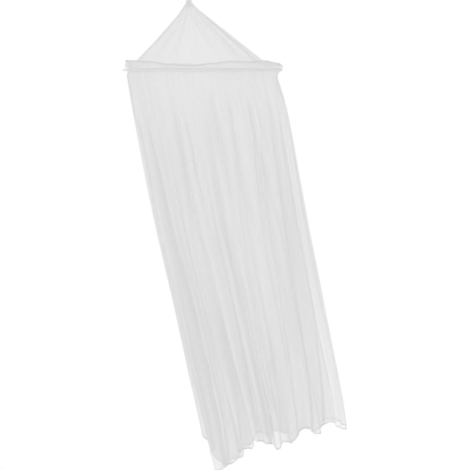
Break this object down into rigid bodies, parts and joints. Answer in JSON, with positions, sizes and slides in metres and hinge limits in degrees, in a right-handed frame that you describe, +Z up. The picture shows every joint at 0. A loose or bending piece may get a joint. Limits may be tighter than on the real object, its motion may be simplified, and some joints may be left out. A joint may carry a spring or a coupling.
{
  "type": "mosquito net canopy with hoop",
  "caption": "Hanging mosquito net: a tent-shaped top gathered to a loop, a hoop in a cloth casing, and a long sheer skirt in uneven folds that trails to one side.",
  "frame": {"origin": "top of the hanging loop, where a hook carries the canopy", "axes": "+Z up; +X the way the skirt trails as it falls; the front seen in the picture faces -Y"},
  "size_m": [0.8546, 0.5974, 1.8149],
  "materials": {
    "net": "sheer polyester net, matt",
    "casing_cloth": "doubled polyester net, matt",
    "cord": "woven cord, matt",
    "hoop_rod": "smooth plastic"
  },
  "bodies": {
    "root": {"hanging_loop": "cord", "tent_top": "net", "hoop_casing": "casing_cloth", "hoop": "hoop_rod", "skirt": "net"}
  },
  "joints": []
}
